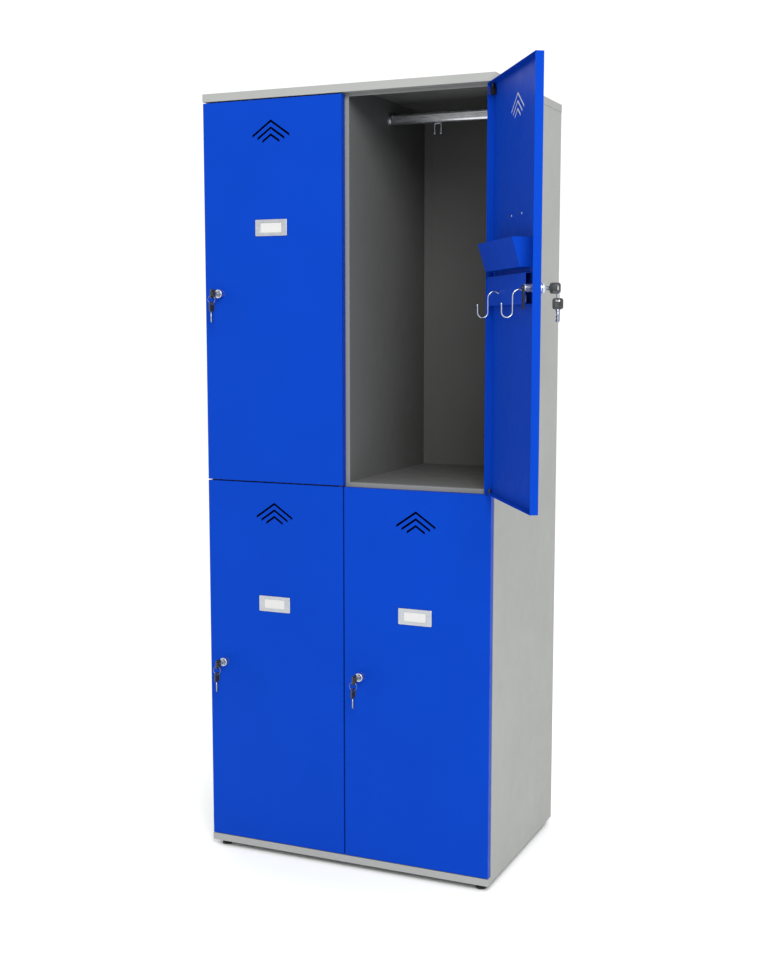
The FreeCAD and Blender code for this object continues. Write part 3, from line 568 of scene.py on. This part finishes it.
# ---------------------------------------------------------------------- keys
BOW_LENGTH, BOW_HEIGHT = 22.0 * MM, 21.5 * MM
BOW_CORNER = 5.0 * MM
RING_SLOT = (4.2 * MM, 9.8 * MM)
RING_SLOT_CORNER = 1.9 * MM
RING_SLOT_INSET = 5.2 * MM
RIB_PLACES = (4.2 * MM, 6.6 * MM, 9.0 * MM, 11.4 * MM)
RIB_WIDTH = 1.3 * MM
RIB_MARGIN = 6.4 * MM                             # both ends of a rib together
RIB_RISE = 0.95 * MM
RIB_FOOT = 0.8 * MM                               # just below the recessed face
# Raised rims, from the middle plane outwards: (edge grown by, height), millimetres
OUTER_RIM = ((0, 0), (0, 0.9), (-0.5, 1.6), (-1.2, 1.8), (-2.0, 1.6), (-2.5, 0.9))
SLOT_RIM = ((0, 0), (0, 0.9), (0.4, 1.5), (1.0, 1.5), (1.4, 0.9))

BLADE_WIDTH = 8 * MM
BLADE_HALF = 1.0 * MM                             # half its thickness
BLADE_CUTS = (0.0, 1.6, 0.6, 2.2, 1.2, 0.4, 1.9, 0.8, 0.0)   # depths, millimetres
GROOVE = (0.6 * MM, 1.5 * MM)
GROOVE_HALF = 1.02 * MM
BLADE_TUCK = 2.0 * MM                             # start of the blade, inside the bow

RING_WIRE_RADIUS = 0.48 * MM
RING_TURNS = 2
RING_OPENING = 1.0 * MM                           # between the wire's two ends
RING_START = 0.9 * math.pi


def key_axes(length_axis):
    """Directions along and across a key that lies in the plane x = constant."""
    along = Vector(length_axis)
    return along, Vector((0, along.z, -along.y))


def bow_mesh(name, centre, length_axis):
    """Moulded key bow on the plane of the blade, with a raised rim and a ring slot."""
    along, across = key_axes(length_axis)

    def place(u, v, h):
        return Vector(centre) + along * u + across * v + Vector((h, 0, 0))

    def ribs(bm, side):
        rib = rounded_rectangle(RIB_WIDTH, BOW_HEIGHT - RIB_MARGIN, 0.6 * MM)
        for rib_place in RIB_PLACES:
            def on_face(u, v, h, middle=rib_place - BOW_LENGTH / 2):
                return place(middle + u, v, side * (RIB_FOOT + h))
            slab(bm, rib, 0.0, RIB_RISE, on_face, edge=0.25 * MM)

    def rim_rings(bm, outline, rim, side):
        return [[bm.verts.new(place(u, v, side * height * MM))
                 for u, v in grown(outline, amount * MM)] for amount, height in rim]

    def build(bm):
        outer = rounded_rectangle(BOW_LENGTH, BOW_HEIGHT, BOW_CORNER, 8)
        shift = BOW_LENGTH / 2 - RING_SLOT_INSET
        slot = [(u + shift, v) for u, v in rounded_rectangle(*RING_SLOT, RING_SLOT_CORNER, 8)]
        for side in (-1, 1):
            ribs(bm, side)
        for side in (-1, 1):
            outside = rim_rings(bm, outer, OUTER_RIM, side)
            inside = rim_rings(bm, slot, SLOT_RIM, side)
            for rings in (outside, inside):
                for first, second in zip(rings, rings[1:]):
                    bridge(bm, first, second)
            edges = []
            for loop in (outside[-1], inside[-1]):
                for index, vertex in enumerate(loop):
                    pair = (vertex, loop[(index + 1) % len(loop)])
                    edges.append(bm.edges.get(pair) or bm.edges.new(pair))
            bmesh.ops.triangle_fill(bm, use_beauty=True, use_dissolve=False, edges=edges)
    return mesh_from(build, name)


def blade_mesh(name, start, length_axis, collar, length):
    """Key blade with its collar and bitting, centred on the plane x = start.x."""
    along, across = key_axes(length_axis)
    outline = [(0.0, -BLADE_WIDTH / 2), (collar, -BLADE_WIDTH / 2)]
    run = (length - collar - BLADE_WIDTH * 0.4) / (len(BLADE_CUTS) - 1)
    for index, cut in enumerate(BLADE_CUTS):
        outline.append((collar + index * run, -BLADE_WIDTH / 2 + cut * MM))
        outline.append((collar + (index + 0.45) * run, -BLADE_WIDTH / 2 + cut * MM))
    outline += [(length, -BLADE_WIDTH * 0.15), (length, BLADE_WIDTH * 0.15),
                (length - BLADE_WIDTH * 0.35, BLADE_WIDTH / 2), (0.0, BLADE_WIDTH / 2)]
    groove_end = length - BLADE_WIDTH * 0.5
    groove = [(collar, GROOVE[0]), (groove_end, GROOVE[0]), (groove_end, GROOVE[1]),
              (collar, GROOVE[1])]

    def ring(bm, points, offset):
        return [bm.verts.new(Vector(start) + along * u + across * v + Vector((offset, 0, 0)))
                for u, v in points]

    def build(bm):
        faces = [ring(bm, outline, offset) for offset in (-BLADE_HALF, BLADE_HALF)]
        bridge(bm, *faces)
        for face in faces:
            bm.faces.new(face)
        for side in (-1, 1):
            bm.faces.new(ring(bm, groove, side * GROOVE_HALF))
    return mesh_from(build, name, smooth=False)


def split_ring_points(centre, steps=64):
    """Two flat turns of spring wire, a wire apart, with its ends sprung open."""
    points = []
    for step in range(steps + 1):
        angle = 2 * RING_TURNS * math.pi * step / steps + RING_START
        side = (step / steps - 0.5) * RING_OPENING
        points.append((centre[0] + RING_RADIUS * math.cos(angle), centre[1] + side,
                       centre[2] + RING_RADIUS * math.sin(angle)))
    return points


def add_keys(door, hung):
    """The key in the lock, the ring through its bow and the spare key on the ring."""
    blade_start = BOW_LENGTH - BLADE_TUCK
    blade = blade_mesh("blade", (LOCK_X, BOW_FRONT + blade_start, LOCK_Z), (0, 1, 0),
                       collar=12 * MM, length=31.5 * MM)
    bow = bow_mesh("bow", (LOCK_X, BOW_FRONT + BOW_LENGTH / 2, LOCK_Z), (0, -1, 0))
    add("key_detail_" + door,
        join([(blade, KEY_METAL), (bow, MATERIALS["key_plastic"])], "key_detail"),
        "key_plastic", "key_body_" + door, replaces=["key_" + door], matrix=hung)

    ring_centre = (LOCK_X, RING_Y, RING_TOP - RING_RADIUS)
    add("split_ring_" + door,
        wire("split_ring", split_ring_points(ring_centre), RING_WIRE_RADIUS), "zinc_steel",
        "ring_" + door, material=RING_WIRE, replaces=["key_ring_" + door], matrix=hung)

    blade = blade_mesh("blade", (LOCK_X, RING_Y, SPARE_TOP - blade_start), (0, 0, -1),
                       collar=4 * MM, length=27 * MM)
    bow = bow_mesh("bow", (LOCK_X, RING_Y, SPARE_TOP - BOW_LENGTH / 2), (0, 0, 1))
    add("spare_key_detail_" + door,
        join([(blade, KEY_METAL), (bow, MATERIALS["key_plastic"])], "spare_key_detail"),
        "key_plastic", "spare_" + door, replaces=["spare_key_" + door], matrix=hung)


# ------------------------------------------------------ top hinge of each door
SPRING_HOUSING = (10 * MM, 15 * MM)
SPRING_HOUSING_CORNER = 1.5 * MM
SPRING_HOUSING_DEPTH = 10.5 * MM
SPRING_HOUSING_PLACE = (-3.5 * MM, 17.5 * MM)     # middle: sideways, down from the door's top
HANDLE_Y = FACE + 15.3 * MM
HANDLE_WIRE = 1.2 * MM
# (sideways from the hinge line, down from the door's top), millimetres
HANDLE = ((-2, 10), (-2, 16), (-2, 24), (-3, 26), (-9, 26), (-13, 26))


def spring_housing(bm):
    """Block that holds the sprung hinge pin."""
    side, down = SPRING_HOUSING_PLACE

    def place(u, v, h):
        return Vector((side + u, BACK_OF_SKIN + h, DOOR_HEIGHT - down + v))
    slab(bm, rounded_rectangle(*SPRING_HOUSING, SPRING_HOUSING_CORNER), 0.0,
         SPRING_HOUSING_DEPTH, place, edge=0.8 * MM)


def add_hinge(door, hung):
    body = "door_" + door
    add("hinge_spring_housing_" + door, mesh_from(spring_housing, "hinge_spring_housing"),
        "key_plastic", body, material=BLACK_PLASTIC, matrix=hung)
    handle = [(side * MM, HANDLE_Y, DOOR_HEIGHT - down * MM) for side, down in HANDLE]
    add("hinge_release_" + door, wire("hinge_release", handle, HANDLE_WIRE), "oiled_steel", body,
        matrix=hung)


for door in REST_ANGLE:
    hung = door_matrix(door)
    add_lock(door, hung)
    add_label(door, hung)
    add_keys(door, hung)
    add_hinge(door, hung)

# --------------------------------------------------------------- wire hooks
HOOKS = {"outer": 71.0 * MM, "inner": 261.0 * MM}       # in from the door's free edge
HOOK_WIRE = 1.5 * MM
HOOK_BALL = 1.9 * MM
HOOK_LENGTH = 54.0 * MM
BACK, MIDDLE, TIP = 9.5 * MM, 36.0 * MM, 58.0 * MM      # the wire's legs, behind the face
ARCH_RADIUS = (MIDDLE - BACK) / 2
THROAT_RADIUS = (TIP - MIDDLE) / 2
ARCH_TOP = LOCK_Z - 2.0 * MM
ARC_STEPS = 12


def half_circle(start, middle_z, radius, turn):
    """From start, up and over (turn -1) or down and under (turn 1), as (reach, height)."""
    points = []
    for step in range(ARC_STEPS + 1):
        angle = math.pi + turn * math.pi * step / ARC_STEPS
        points.append((start + radius * (1 + math.cos(angle)),
                       middle_z + radius * math.sin(angle)))
    return points


def hook_path():
    """S-shaped wire: a tail, an arch over the slot's sill, a throat and a lifted tip."""
    arch_z = ARCH_TOP - ARCH_RADIUS
    throat_z = ARCH_TOP - HOOK_LENGTH + THROAT_RADIUS
    return [(BACK, arch_z - 12 * MM), (BACK, arch_z - 5 * MM),
            *half_circle(BACK, arch_z, ARCH_RADIUS, -1),
            (MIDDLE, (arch_z + throat_z) / 2),
            *half_circle(MIDDLE, throat_z, THROAT_RADIUS, 1),
            (TIP, throat_z + 8 * MM), (TIP + 0.3 * MM, throat_z + 15.5 * MM)]


for which, position in HOOKS.items():
    points = [(FREE_EDGE + position, FACE + reach, height) for reach, height in hook_path()]
    hook = wire("wire_hook_" + which, points, HOOK_WIRE, 8)
    tip = mesh_from(lambda bm: ball(bm, points[-1], HOOK_BALL), "ball_end")
    add("wire_hook_" + which,
        join([(hook, MATERIALS["zinc_steel"]), (tip, MATERIALS["zinc_steel"])], "wire_hook"),
        "zinc_steel", "hook_" + which, replaces=["s_hook_%s_upper_right" % which],
        matrix=door_matrix("upper_right"))

# ------------------------------------------------ hanging-rod ends and prongs
ROD_Y = -CABINET_DEPTH / 2 + 268.0 * MM
ROD_HALF = 12.5 * MM                                    # half the rod's height
ROD_HEIGHTS = (1756.2 * MM, 881.7 * MM)
WALLS = ((-355.9 * MM, -0.4 * MM), (0.4 * MM, 355.9 * MM))   # left and right column
# (radius, distance off the wall), millimetres
CUP = ((0.001, 0.9), (13.0, 0.9), (13.1, 5.6), (13.7, 6.2), (14.4, 5.8), (14.6, 2.4), (15.3, 1.5),
       (18.5, 1.3), (18.9, 0.9), (19.0, 0.0))
CUP_RIVET_OFFSET = 17.0 * MM
PRONG_OFFSET = 121.0 * MM                               # from the column's left wall
PRONG_SPREAD = 8.0 * MM
PRONG_DROP = 24.0 * MM
PRONG_WIRE = 1.8 * MM
PRONG_BALL = 3.5 * MM


def rod_cups(bm):
    """Rimmed cups that carry the rods, each with two fixing rivets."""
    for low_wall, high_wall in WALLS:
        for height in ROD_HEIGHTS:
            for wall, side in ((low_wall, 1), (high_wall, -1)):
                lathe(bm, in_metres(CUP), (wall, ROD_Y, height), (side, 0, 0), 48)
                for up in (-1, 1):
                    rivet(bm, (wall + side * 1.2 * MM, ROD_Y, height + up * CUP_RIVET_OFFSET),
                          radius=1.3 * MM, rise=0.6 * MM, direction=(side, 0, 0))


def prong_points(x, height):
    """Double prong bent from one wire under the rod."""
    foot = height - ROD_HALF
    leg = x - PRONG_SPREAD
    left = [(leg, ROD_Y, foot - PRONG_DROP), (leg, ROD_Y, foot - 8 * MM),
            (leg, ROD_Y, foot - 2.6 * MM), (leg + 3 * MM, ROD_Y, foot - 1.8 * MM)]
    right = [(2 * x - place[0], *place[1:]) for place in reversed(left)]
    return left + right


prong_meshes = []
for low_wall, _ in WALLS:
    for height in ROD_HEIGHTS:
        points = prong_points(low_wall + PRONG_OFFSET, height)

        def prong_balls(bm):
            for end in (points[0], points[-1]):
                ball(bm, end, PRONG_BALL)
        prong_meshes.append((wire("prong", points, PRONG_WIRE, 8), MATERIALS["zinc_steel"]))
        prong_meshes.append((mesh_from(prong_balls, "prong_balls"), MATERIALS["zinc_steel"]))
add("coat_prongs", join(prong_meshes, "coat_prongs"), "zinc_steel", "carcass",
    replaces=["coat_hooks"])
add("rod_cups", mesh_from(rod_cups, "rod_cups"), "socket_paint", "carcass",
    replaces=["rod_sockets"])

# --------------------------------------------------------------------- feet
# (radius, height), millimetres
FOOT_PAD = ((0.001, 0.0), (10.6, 0.0), (11.6, 0.5), (12.0, 1.4), (12.0, 3.4), (11.5, 4.2),
            (9.2, 6.0), (8.6, 6.6), (8.6, 9.0), (4.2, 9.0))
FOOT_STEM = ((4.0, 9.0), *thread_profile(crest=4.0, root=3.5, low=9.4, high=29.0, pitch=1.25,
                                         fall=0.6), (0.001, 29.5))

for corner in ("front_left", "front_right", "rear_left", "rear_right"):
    node = "foot_" + corner
    low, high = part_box(node)
    centre = ((low[0] + high[0]) / 2, (low[1] + high[1]) / 2, 0.0)
    pad = mesh_from(lambda bm: lathe(bm, in_metres(FOOT_PAD), centre, (0, 0, 1), 48), "pad")
    stem = mesh_from(lambda bm: lathe(bm, in_metres(FOOT_STEM), centre, (0, 0, 1), 32), "stem")
    add(node + "_detail",
        join([(pad, MATERIALS["foot_plastic"]), (stem, MATERIALS["zinc_steel"])],
             node + "_detail"),
        "foot_plastic", node + "_body", replaces=[node])

# -------------------------------------------------------------- floor, lights
FLOOR_SIZE = 60.0
half = FLOOR_SIZE / 2
floor_material, _, floor_shader = new_material("studio_floor")
floor_shader.inputs["Base Color"].default_value = (0.96, 0.965, 0.97, 1)
floor_shader.inputs["Roughness"].default_value = 0.6
floor_shader.inputs["Specular IOR Level"].default_value = 0.1
floor_mesh = bpy.data.meshes.new("studio_floor")
floor_mesh.from_pydata([(-half, -half, 0), (half, -half, 0), (half, half, 0), (-half, half, 0)],
                       [], [(0, 1, 2, 3)])
floor_mesh.materials.append(floor_material)
floor = bpy.data.objects.new("studio_floor", floor_mesh)
bpy.context.scene.collection.objects.link(floor)

world = bpy.data.worlds.new("studio")
bpy.context.scene.world = world
world.use_nodes = True
background = world.node_tree.nodes["Background"]
background.inputs["Color"].default_value = (1.0, 1.0, 1.0, 1)
background.inputs["Strength"].default_value = 1.06


def soft_light(name, place, target, size, power):
    """Square area lamp at place, aimed at target."""
    lamp = bpy.data.lights.new(name, "AREA")
    lamp.shape = "RECTANGLE"
    lamp.size = lamp.size_y = size
    lamp.energy = power
    obj = bpy.data.objects.new(name, lamp)
    bpy.context.scene.collection.objects.link(obj)
    obj.location = place
    obj.rotation_euler = (Vector(target) - Vector(place)).to_track_quat("-Z", "Y").to_euler()


soft_light("key", place=(2.2, -3.6, 3.5), target=(0, 0, CABINET_HEIGHT / 2), size=2.0, power=180)

# -------------------------------------------------------------------- camera
CAMERA_PLACE = (1.336, -3.0287, 1.2778)
CAMERA_YAW = 23.96                                # degrees, turned left of +Y
CAMERA_PITCH = -6.80                              # degrees, below level
camera_data = bpy.data.cameras.new("camera")
camera_data.sensor_width = 36.0                   # millimetres
camera_data.lens = 50.64                          # millimetres
camera = bpy.data.objects.new("camera", camera_data)
bpy.context.scene.collection.objects.link(camera)
camera.location = CAMERA_PLACE
camera.rotation_euler = (math.radians(90 + CAMERA_PITCH), 0, math.radians(CAMERA_YAW))
bpy.context.scene.camera = camera
bpy.context.scene.view_settings.view_transform = "Standard"
bpy.context.scene.view_settings.look = "None"
